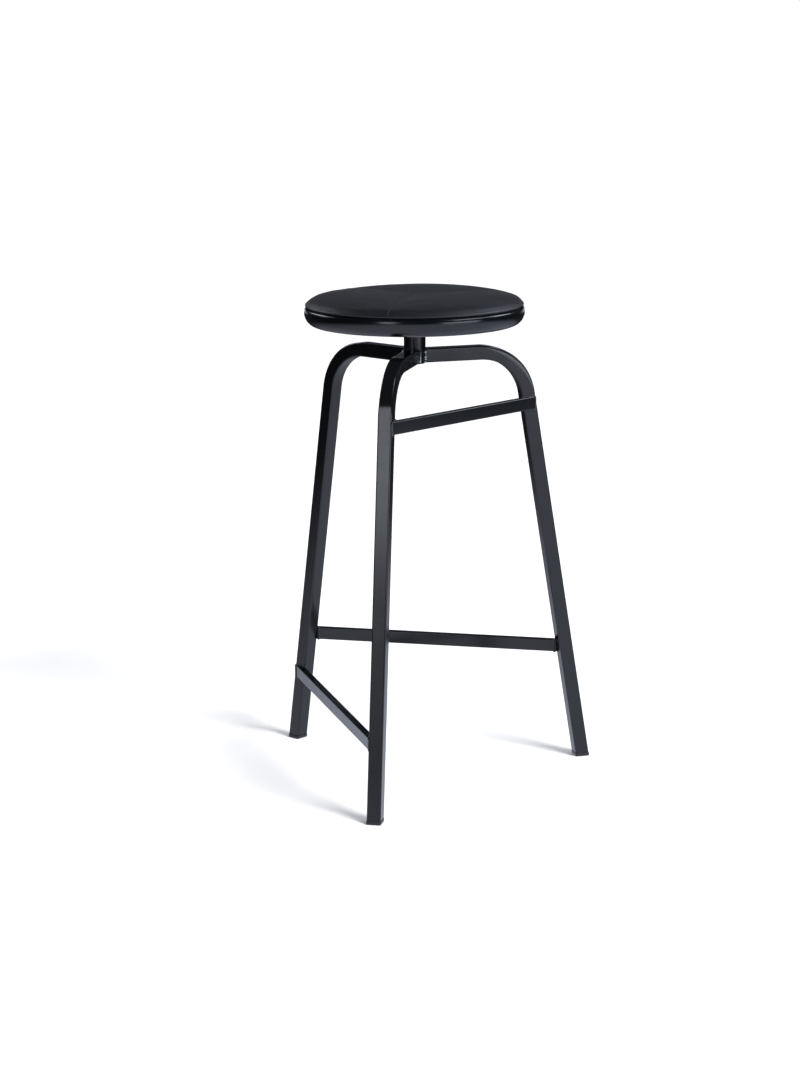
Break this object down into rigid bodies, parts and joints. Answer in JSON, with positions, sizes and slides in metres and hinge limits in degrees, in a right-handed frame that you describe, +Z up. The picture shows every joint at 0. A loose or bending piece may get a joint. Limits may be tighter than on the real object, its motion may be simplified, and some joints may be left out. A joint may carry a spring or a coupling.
{
  "type": "bar stool",
  "caption": "Tripod bar stool with bent square-tube legs, staggered footrest bars and a round padded seat that swivels on a short column.",
  "frame": {"origin": "on the floor, under the middle of the stool's bounding box; the swivel axis stands 58.9 mm behind it, at x = 0", "axes": "+Z up; -Y towards the front leg; +X to the right, so the right leg stands at 30 degrees and the left leg at 150 degrees about the swivel axis"},
  "size_m": [0.5086, 0.4576, 0.7642],
  "materials": {
    "powder_coated_steel": "satin black powder coat",
    "zinc_plated_steel": "zinc plated",
    "nylon": "moulded, matte",
    "shell_plastic": "glossy black",
    "plywood": "bare birch plywood",
    "foam": "open-cell upholstery foam",
    "leather": "fine-grained black leather"
  },
  "bodies": {
    "frame": {"leg_front": "powder_coated_steel", "leg_right": "powder_coated_steel", "leg_left": "powder_coated_steel", "footrest_upper": "powder_coated_steel", "footrest_middle": "powder_coated_steel", "footrest_lower": "powder_coated_steel", "foot_glide_front": "nylon", "foot_glide_right": "nylon", "foot_glide_left": "nylon", "hub_tube": "powder_coated_steel", "upper_bush": "nylon", "lower_bush": "nylon", "hub_cap": "nylon"},
    "seat": {"spindle": "zinc_plated_steel", "thrust_washer": "zinc_plated_steel", "retaining_washer": "zinc_plated_steel", "retaining_screw": "zinc_plated_steel", "seat_plate": "powder_coated_steel", "plate_screw_1": "zinc_plated_steel", "plate_screw_2": "zinc_plated_steel", "plate_screw_3": "zinc_plated_steel", "plate_screw_4": "zinc_plated_steel", "seat_shell": "shell_plastic", "pad_board": "plywood", "seat_foam": "foam", "cover_panel_back": "leather", "cover_panel_left": "leather", "cover_panel_right": "leather"}
  },
  "joints": [
    {"name": "seat_swivel", "type": "hinge", "parent": "frame", "child": "seat", "pos_m": [0, 0.05887, 0.715], "axis": [0, 0, 1], "continuous": true}
  ]
}
